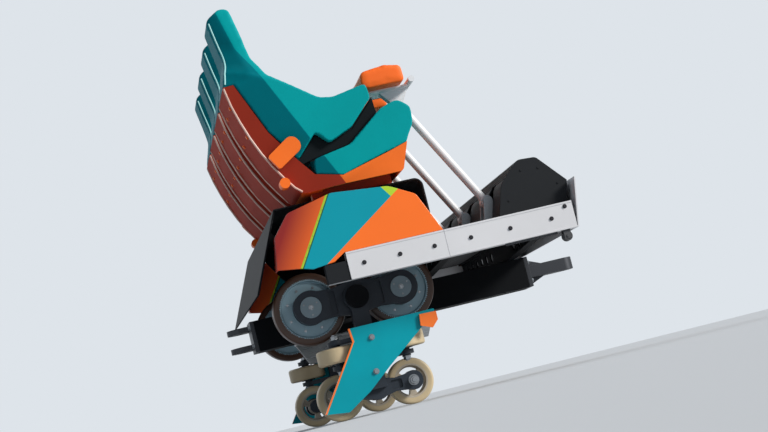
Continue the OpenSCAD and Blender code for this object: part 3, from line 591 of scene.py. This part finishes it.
ORANGE, FAIRING_SHADE_RED, REAR_ORANGE = srgb(252, 118, 44), srgb(158, 46, 42), srgb(246, 108, 46)
TEAL_BAND, GREEN, LIME = srgb(0, 150, 168), srgb(20, 84, 60), srgb(178, 214, 60)
SCHEME = [  # from the rear to the front: start and end of a paint edge, colour beyond it
    ((-0.243, 0.335), (-0.063, 0.625), LIME),
    ((-0.233, 0.335), (-0.053, 0.625), GREEN),
    ((-0.227, 0.335), (-0.047, 0.625), TEAL_BAND),
    ((0.235, 0.470), (0.120, 0.640), LIME),
    ((-0.085, 0.341), (0.215, 0.541), ORANGE),
]
fairing_paint = painted("fairing paint", ORANGE, roughness=0.26, grain=(300.0, 0.06), dust=0.12,
                        chips=0.4, coat=0.10, gloss=0.18)
tree = fairing_paint.node_tree
where = add_node(tree, "ShaderNodeSeparateXYZ",
                 {0: add_node(tree, "ShaderNodeTexCoord").outputs["Object"]})
x, z = where.outputs[0], where.outputs[2]
# Painted shade: the rear facet darkens from orange by the lime stripe to red further behind it
ACROSS_STRIPE, SHADE_FADE_START, SHADE_FADE_END = (0.850, -0.527), -0.500, -0.385
shade_fade = ramp(tree, slanted(tree, x, z, *ACROSS_STRIPE), SHADE_FADE_START, SHADE_FADE_END)
scheme = blend_colour(tree, shade_fade, FAIRING_SHADE_RED, REAR_ORANGE)
for start, end, colour in SCHEME:
    scheme = blend_colour(tree, beyond_line(tree, x, z, start, end), scheme, colour)

# The scheme takes the plain colour's place in the paint, and its darker tone the mottling's
first_mix = next(link.to_node for link in tree.links
                 if link.from_node.type == "GROUP" and link.from_socket.name == "Mottle").inputs
shaded = add_node(tree, "ShaderNodeMix", {"Factor": 0.12}, data_type="RGBA", blend_type="MULTIPLY")
tree.links.new(scheme, shaded.inputs[6])
shaded.inputs[7].default_value = srgb(200, 200, 200)
tree.links.new(scheme, first_mix[6])
tree.links.new(shaded.outputs[2], first_mix[7])
for side in SIDES:
    dress(f"fairing_{side}", [fairing_paint], 0.003, segments=3, crease=16)


# Seat shells: moulded shells, orange, and behind the fold down their sides brick red: this
# brick red is painted shade of the rear-leaning faces there. A pale tube along their rear rims
# is a painted highlight of those rims. Near-black strips between the bolsters are painted shade
# of the gap there. The outer seats carry a bracket and a knob for the restraint's manual release.

shell_orange = painted("shell orange", srgb(248, 116, 40), roughness=0.42, grain=(260.0, 0.12),
                       dust=0.2, chips=0.4, gloss=0.18)
# Painted shade: brick red on the shell's faces behind the fold, which lean to the rear
shell_shade_red = painted("shell painted shade red", srgb(164, 56, 40), roughness=0.6, grain=(260.0, 0.12),
                      dust=0.1, chips=0.4, gloss=0.03)
# Painted shade: near black, for the strip and sheets in the gap between the bolsters
gap_shade_black = painted("painted gap shade", srgb(10, 18, 22), roughness=0.6, grain=(500.0, 0.3),
                      dust=0.1, chips=0.0, gloss=0.1)
# Painted highlight: pale tubes along the shells' rear rims stand for the light those rims catch
rim_highlight_paint = painted("painted rim highlight", srgb(226, 190, 176), roughness=0.5, grain=(500.0, 0.2),
                 dust=0.1, chips=0.0)
SEATS = {i: JOINTS[f"lap_bar_{i}"]["pos_m"][1] for i in (1, 2, 3, 4)}  # middles of the seats
HALF, LEAN = 0.24, 0.25


def square_to(low, top):
    """Direction in side view that points to the rear of the line from low up to top."""
    return Vector((low.z - top.z, 0, top.x - low.x)).normalized()


FOLD_TOP, FOLD_LOW = Vector((-0.275, 0, 1.275)), Vector((-0.080, 0, 0.855))
FOLD_BEHIND = square_to(FOLD_LOW, FOLD_TOP)


def side_view(point):
    """A place flattened on to the car's middle plane."""
    return Vector((point.x, 0, point.z))


def behind_fold(point, margin=0.0005):
    """Whether a place in side view lies behind the fold down the seats' sides."""
    return (side_view(point) - FOLD_TOP).dot(FOLD_BEHIND) > margin


def seat_half(x, z):
    """Half width of a seat at a place in side view: it narrows behind the fold."""
    return HALF - LEAN * max(0.0, (Vector((x, 0, z)) - FOLD_TOP).dot(FOLD_BEHIND))


def edges_on(bm, points):
    """Edges with both their ends among the points."""
    return [e for e in bm.edges if all(v in points for v in e.verts)]


def run_tube(bm, points, radius, segments=8):
    """Sweeps a round section along points and closes its ends."""
    rings = []
    for i, point in enumerate(points):
        ahead = (points[min(i + 1, len(points) - 1)] - points[max(i - 1, 0)]).normalized()
        made = bmesh.ops.create_circle(bm, cap_ends=False, radius=radius, segments=segments,
                                       matrix=standing(point, ahead))
        rings.append(made["verts"])
    for a, b in zip(rings, rings[1:]):
        bmesh.ops.bridge_loops(bm, edges=edges_on(bm, a) + edges_on(bm, b))
    for ring in (rings[0], rings[-1]):
        bmesh.ops.contextual_create(bm, geom=edges_on(bm, ring))
    bmesh.ops.recalc_face_normals(bm, faces=bm.faces)


KNOB_OUT, KNOB_AT, KNOB_RADIUS = 0.16, (-0.232, 0.690), 0.0235
STRIP_OFF, STRIP_REACH, STRIP_REAR_X, STRIP_LOW_Z = 0.198, 0.0095, -0.176, 0.75
SHADE_RED_LOW_Z = 0.64


def shell_face(y):
    """Near-black strips inside, painted shade of the gap between the bolsters; brick red behind the fold, painted
    shade; orange ahead of it and on bracket and knob.
    """
    def choose(middle, normal):
        off = abs(middle.y - y)
        knob_x, knob_z = KNOB_AT
        if off > KNOB_OUT and math.hypot(middle.x - knob_x, middle.z - knob_z) < KNOB_RADIUS:
            return 0
        ahead = middle.x > STRIP_REAR_X and middle.z > STRIP_LOW_Z
        if ahead and abs(off - STRIP_OFF) < STRIP_REACH:
            return 1
        outside = off < HALF + 0.0002 and middle.z > SHADE_RED_LOW_Z
        return 2 if behind_fold(middle) and outside else 0
    return choose


# Pale tubes along the shells' rear rims: a painted highlight
RIM_HIGHLIGHT_RADIUS, RIM_HIGHLIGHT_SINK = 0.005, 0.002
REAR_RIM = [(-0.393, 1.155), (-0.378, 1.075), (-0.357, 1.000), (-0.330, 0.920), (-0.298, 0.845),
            (-0.262, 0.775), (-0.225, 0.715), (-0.190, 0.665), (-0.163, 0.640)]
for i, y in SEATS.items():
    dress(f"seat_shell_{i}", [shell_orange, gap_shade_black, shell_shade_red], 0.004, segments=3,
          choose=shell_face(y))
    bm = bmesh.new()
    for s in (RIGHT, LEFT):
        rim = [Vector((x, y + s * (seat_half(x, z) - RIM_HIGHLIGHT_SINK), z)) for x, z in REAR_RIM]
        run_tube(bm, rim, RIM_HIGHLIGHT_RADIUS)
    into_piece(bm, f"seat_rim_highlight_{i}", "chassis", [rim_highlight_paint], weighted=False)

# Bolts through the back of each shell into the pad's insert
BACK_BOLTS_OFF = 0.11
BACK_BOLTS = [(-0.3762, 1.080, 0.244), (-0.3331, 0.940, 0.381)]  # x, z, lean of the back there
for i, y in SEATS.items():
    bm = bmesh.new()
    for x, z, lean in BACK_BOLTS:
        rearward = (-math.cos(lean), 0, -math.sin(lean))
        for off in (-BACK_BOLTS_OFF, BACK_BOLTS_OFF):
            bolt(bm, (x, y + off, z), rearward, 0.010, head=0.45)
    into_piece(bm, f"back_bolts_{i}", "chassis", [shell_orange],
               weighted=False)

# Near-black sheet that closes the slit between each bolster and the dark strip below it: painted shade of the slit
SLIT_SHADE_OUTLINE = [(-0.155, 0.770), (-0.088, 0.760), (0.080, 0.792), (0.235, 0.905), (0.230, 0.985),
          (0.112, 0.874), (0.0, 0.827), (-0.050, 0.880)]
SLIT_SHADE_OFF, SLIT_SHADE_THICK = 0.196, 0.004
for i, y in SEATS.items():
    bm = bmesh.new()
    for s in (RIGHT, LEFT):
        face = bm.faces.new([bm.verts.new((x, y + s * SLIT_SHADE_OFF, z)) for x, z in SLIT_SHADE_OUTLINE])
        sheet = bmesh.ops.extrude_face_region(bm, geom=[face])["geom"]
        bmesh.ops.translate(bm, verts=[v for v in sheet if isinstance(v, bmesh.types.BMVert)],
                            vec=(0, s * SLIT_SHADE_THICK, 0))
    bmesh.ops.recalc_face_normals(bm, faces=bm.faces)
    into_piece(bm, f"slit_shade_{i}", "chassis", [gap_shade_black],
               weighted=False)


# Pads: self-skinned polyurethane foam moulded on to a steel insert, with a fine leather grain,
# teal on the seats and orange on the lap bars. Behind the folds down their sides the seat pads
# are a deeper teal: painted shade of these rear-leaning faces. The back, headrest and hip
# bolsters are one pad, the squab and thigh bolsters another.

pad_teal = painted("pad teal", srgb(0, 156, 160), roughness=0.52, grain=(340.0, 0.6), dust=0.08,
                   chips=0.0, shade=0.86, gloss=0.06)
# Painted shade: deeper teal on the pads' faces behind the folds, which lean to the rear
pad_teal_painted_shade = painted("pad teal painted shade", srgb(0, 116, 128), roughness=0.52, grain=(340.0, 0.6),
                        dust=0.08, chips=0.0, shade=0.86, gloss=0.04)
pad_orange = painted("pad orange", srgb(255, 112, 36), roughness=0.5, grain=(340.0, 0.6),
                     dust=0.08, chips=0.0, shade=0.88, gloss=0.25)


def evaluated(piece):
    """The piece with its modifiers applied."""
    return piece.evaluated_get(bpy.context.evaluated_depsgraph_get())


def soften(bm, turns):
    """Smooths a mesh over and over."""
    for turn in range(turns):
        bmesh.ops.smooth_vert(bm, verts=bm.verts, factor=0.5, use_axis_x=True, use_axis_y=True,
                              use_axis_z=True)


FOAM_FRAMES = 20


def pressed_out(bm, name, cap):
    """Mesh of a closed pad swollen a little by cloth pressure, each point by at most cap."""
    rest = [v.co.copy() for v in bm.verts]
    mesh = mesh_of(bm, name)
    piece = put_in_scene(name, mesh)
    cloth = piece.modifiers.new("foam", "CLOTH")
    cloth.settings.use_pressure = True
    cloth.settings.uniform_pressure_force = 4.0
    cloth.settings.effector_weights.gravity = 0.0
    cloth.settings.quality = 4
    cloth.settings.tension_stiffness = 20
    cloth.settings.compression_stiffness = 20
    cloth.settings.bending_stiffness = 6
    for number in range(1, FOAM_FRAMES + 1):
        bpy.context.scene.frame_set(number)
    moved = [v.co.copy() for v in evaluated(piece).to_mesh().vertices]
    piece.modifiers.remove(cloth)
    bpy.context.scene.frame_set(1)
    for point, start, end in zip(mesh.vertices, rest, moved):
        step = end - start
        point.co = start + step * min(1.0, cap / max(step.length, 1e-9))
    bpy.data.objects.remove(piece)
    return mesh


HEAD_FOLD_TOP, HEAD_FOLD_LOW = Vector((-0.350, 0, 1.535)), Vector((-0.290, 0, 1.290))
HEAD_BEHIND = square_to(HEAD_FOLD_LOW, HEAD_FOLD_TOP)
FOLDS_MEET_Z, SHOULDER_Z, SHOULDER_HIGH = 1.327, 1.15, 0.11
HEAD_HALF, HEAD_FOOT_HALF, HEAD_FOOT_Z, HEAD_SPREAD, HEAD_LEAN = 0.135, 0.155, 1.33, 0.57, 0.5


def head_share(z):
    """0 on the seat, 1 on the headrest, with a soft change at the shoulders."""
    return min(1.0, max(0.0, (z - SHOULDER_Z) / SHOULDER_HIGH))


def slim_head(bm, y):
    """Leans a headrest's sides in behind a fold that carries the seat's fold on to its top."""
    for point in bm.verts:
        deep = max(0.0, (side_view(point.co) - HEAD_FOLD_TOP).dot(HEAD_BEHIND))
        wide = HEAD_FOOT_HALF + (HEAD_FOOT_Z - point.co.z) * HEAD_SPREAD
        wide = min(HALF, max(HEAD_HALF, wide))
        drawn = 1.0 - HEAD_LEAN * deep * head_share(point.co.z) / wide
        point.co.y = y + (point.co.y - y) * drawn


FOLD_REACH, FOLD_BLEND = 0.010, 0.006


def press_fold(bm, y, shrink):
    """Draws the fold down a seat's sides as a clean line: cuts the mesh along it and sets the
    sides on the shape of the CAD solid again, from FOLD_REACH inside them outwards."""
    bmesh.ops.bisect_plane(bm, geom=bm.verts[:] + bm.edges[:] + bm.faces[:], plane_co=FOLD_TOP,
                           plane_no=FOLD_BEHIND, dist=0.001)
    for point in bm.verts:
        reach = seat_half(point.co.x, point.co.z) - shrink
        off = abs(point.co.y - y)
        near = min(1.0, max(0.0, (off - reach + FOLD_REACH) / FOLD_BLEND))
        near *= 1.0 - head_share(point.co.z)
        point.co.y = y + math.copysign(off + (reach - off) * near, point.co.y - y)


FACING = 0.3


def shade_behind_folds(bm, y):
    """Gives the outer sides and rear behind the folds the second, deeper teal, painted shade of
    these rear-leaning faces, and cuts the headrest along its fold so that the shade ends in a
    clean line. Faces that look ahead or inwards by more than FACING keep the first."""
    head = [face for face in bm.faces if face.calc_center_median().z > FOLDS_MEET_Z - 0.02]
    edges = dict.fromkeys(edge for face in head for edge in face.edges)
    points = dict.fromkeys(point for face in head for point in face.verts)
    bmesh.ops.bisect_plane(bm, geom=[*points, *edges, *head], plane_co=HEAD_FOLD_TOP,
                           plane_no=HEAD_BEHIND, dist=0.0005)
    bm.normal_update()
    for face in bm.faces:
        at = face.calc_center_median()
        if at.z > FOLDS_MEET_Z:
            behind = (side_view(at) - HEAD_FOLD_TOP).dot(HEAD_BEHIND) > 0
        else:
            behind = behind_fold(at, 0)
        inward = face.normal.y * (at.y - y) < -FACING * abs(at.y - y)
        face.material_index = 1 if behind and face.normal.x < FACING and not inward else 0


def foam(node, voxel, shrink, cap, smooth, shaped=None):
    """Softened solid of a pad: its CAD solid remeshed, shaped, drawn in, swollen and smoothed."""
    piece = put_in_scene(node + ".foam", mesh_of(merged(node), node + ".foam"))
    remesh = piece.modifiers.new("remesh", "REMESH")
    remesh.mode, remesh.voxel_size = "VOXEL", voxel
    even = bpy.data.meshes.new_from_object(evaluated(piece))
    bpy.data.objects.remove(piece)
    bm = bmesh.new()
    bm.from_mesh(even)
    if shaped:
        shaped(bm)
    bm.normal_update()
    soften(bm, smooth)
    bm.normal_update()
    for point in bm.verts:
        point.co -= point.normal * shrink
    swollen = pressed_out(bm, node + ".swollen", cap)
    bm = bmesh.new()
    bm.from_mesh(swollen)
    soften(bm, 2)
    return bm


def pad_set(kind, body, materials, voxel, cap, smooth, folded=False, shaped=None):
    """One pad is made for the first seat and repeated, moved across, on the other three. Before
    it swells it is drawn in by shrink. fill is not used."""
    shrink, fill = 0.001, 0.9
    first = foam(f"{kind}_1", voxel, shrink, cap, smooth, shaped)
    if folded:
        press_fold(first, SEATS[1], shrink)
        shade_behind_folds(first, SEATS[1])
    for i, y in SEATS.items():
        bm = first.copy()
        bmesh.ops.translate(bm, verts=bm.verts, vec=(0, y - SEATS[1], 0))
        piece = into_piece(bm, f"{kind}_{i}.foam", body.format(i), materials,
                           weighted=False, crease=180)
        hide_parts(f"{kind}_{i}")
    felt = BVHTree.FromBMesh(first)
    first.free()
    return felt


back_felt = pad_set("back_pad", "chassis", [pad_teal, pad_teal_painted_shade], voxel=0.007, cap=0.0025,
                    smooth=2, folded=True, shaped=lambda bm: slim_head(bm, SEATS[1]))
pad_set("seat_cushion", "chassis", [pad_teal, pad_teal_painted_shade], voxel=0.007, cap=0.0025, smooth=2,
        folded=True)
pad_set("lap_pad", "lap_bar_{}", [pad_orange], voxel=0.006, cap=0.002, smooth=3)

# Pale teal tube along both rear corners of each back pad: a painted highlight of the pads' rear rims
pad_rim_highlight_paint = painted("pad_rim_highlight_paint", srgb(150, 214, 214), roughness=0.5, grain=(500.0, 0.2), dust=0.1,
                 chips=0.0)
REAR_OF_CAR, RIM_DEPTH, RIM_STEP, RIM_TURNS = -1.0, 0.012, 0.001, 8
PAD_HIGHLIGHT_RADIUS, PAD_HIGHLIGHT_LIFT = 0.0035, 0.001
PAD_HIGHLIGHT_HEIGHTS = [1.172 + 0.012 * k for k in range(26)]


def felt_from_behind(felt, y, z):
    """Where a ray from behind the car meets a pad, or None."""
    return felt.ray_cast(Vector((REAR_OF_CAR, y, z)), Vector((1, 0, 0)))[0]


def rear_corner(felt, y, side):
    """Points along a pad's rear corner: the outermost ones that lie near the depth of its
    middle, evened out and laid on the pad."""
    points = []
    for z in PAD_HIGHLIGHT_HEIGHTS:
        rear = felt_from_behind(felt, y, z).x
        out = HALF + 0.02
        while out > 0.05:
            hit = felt_from_behind(felt, y + side * out, z)
            if hit and hit.x < rear + RIM_DEPTH:
                points.append(hit + Vector((PAD_HIGHLIGHT_LIFT, -side * PAD_HIGHLIGHT_LIFT, 0)))
                break
            out -= RIM_STEP
    for turn in range(RIM_TURNS):
        points[1:-1] = [(a + 2 * b + c) / 4 for a, b, c in zip(points, points[1:], points[2:])]
    on_pad = [felt.find_nearest(point)[:2] for point in points]
    return [spot + normal * PAD_HIGHLIGHT_LIFT for spot, normal in on_pad]


rim_highlight_lines = [rear_corner(back_felt, SEATS[1], s) for s in (RIGHT, LEFT)]
for i, y in SEATS.items():
    bm = bmesh.new()
    for line in rim_highlight_lines:
        run_tube(bm, [point + Vector((0, y - SEATS[1], 0)) for point in line], PAD_HIGHLIGHT_RADIUS)
    into_piece(bm, f"pad_rim_highlight_{i}", "chassis", [pad_rim_highlight_paint], weighted=False)


# Lap bars: welded steel tube with a plate under the pad and a grip bar across, powder coated
# white. Each swings forward on a pin between the lugs on the deck.

tube_white = painted("tube white", srgb(222, 224, 228), under=srgb(140, 140, 142), roughness=0.3,
                     grain=(420.0, 0.0), dust=0.1, chips=0.0, coat=0.05, shade=0.93, gloss=0.15)
for i in SEATS:
    dress(f"lap_arm_{i}", [tube_white], 0.0015)


# Floor and light: a plain pale floor that runs to the horizon, a broad soft lamp from the
# front right, a weaker one from behind, and a pale sky that fills in. Faces turned to the rear
# lie in shade, as in the photo.

FLOOR_HALF, FLOOR_Z = 60.0, cad_box[0][2] - 0.0005
bm = bmesh.new()
bmesh.ops.create_grid(bm, x_segments=1, y_segments=1, size=FLOOR_HALF,
                      matrix=Matrix.Translation((0, 0, FLOOR_Z)))
floor = put_in_scene("floor", mesh_of(bm, "floor"))
floor_finish, tree, shader = new_material("floor")
shader.inputs["Base Color"].default_value = srgb(205, 208, 212)
shader.inputs["Roughness"].default_value = 0.9
floor.data.materials.append(floor_finish)

world = bpy.data.worlds.new("sky")
world.use_nodes = True
bpy.context.scene.world = world
tree = world.node_tree
rays = add_node(tree, "ShaderNodeLightPath").outputs
direct = add_node(tree, "ShaderNodeMath",
                  {0: rays["Is Camera Ray"], 1: rays["Is Glossy Ray"]}, operation="MAXIMUM")
seen = add_node(tree, "ShaderNodeMath",
                {0: direct.outputs[0], 1: rays["Is Transmission Ray"]}, operation="MAXIMUM")
plain = add_node(tree, "ShaderNodeBackground", {"Color": srgb(222, 228, 234), "Strength": 1.0})
fill_light = add_node(tree, "ShaderNodeBackground",
                      {"Color": srgb(214, 226, 240), "Strength": 0.28})
both = add_node(tree, "ShaderNodeMixShader",
                {0: seen.outputs[0], 1: fill_light.outputs[0], 2: plain.outputs[0]})
tree.links.new(both.outputs[0], tree.nodes["World Output"].inputs["Surface"])


def soft_lamp(name, side, spread, strength, colour):
    """Broad, far lamp that shines from one side with soft edged shadows."""
    lamp = bpy.data.lights.new(name, "SUN")
    lamp.angle, lamp.energy, lamp.color = math.radians(spread), strength, colour
    holder = put_in_scene(name, lamp)
    holder.location = Vector(side) * 8
    holder.rotation_mode = "QUATERNION"
    holder.rotation_quaternion = Vector(side).to_track_quat("Z", "Y")


soft_lamp("key", (0.77, -0.48, 0.43), 15, 4.1, (1.0, 0.97, 0.92))
soft_lamp("back", (-0.48, 0.72, 0.48), 27, 0.5, (0.9, 0.95, 1.0))

# Camera: at floor level on the car's right, a little behind its middle, looking up and rolled,
# so that the car climbs to the right as in the photo.
AIM, EYE_Z, DISTANCE = Vector((0.33, 0.0, 0.57)), -0.33, 8.0
AZIMUTH, ROLL = math.radians(-10), math.radians(14)
eye = AIM + DISTANCE * Vector((math.sin(AZIMUTH), -math.cos(AZIMUTH), 0))
eye.z = EYE_Z
level = (AIM - eye).to_track_quat("-Z", "Y")
camera = bpy.data.cameras.new("camera")
camera.lens = 76
view = put_in_scene("camera", camera)
view.location = eye
view.rotation_mode = "QUATERNION"
view.rotation_quaternion = level @ Matrix.Rotation(-ROLL, 3, "Z").to_quaternion()
bpy.context.scene.camera = view
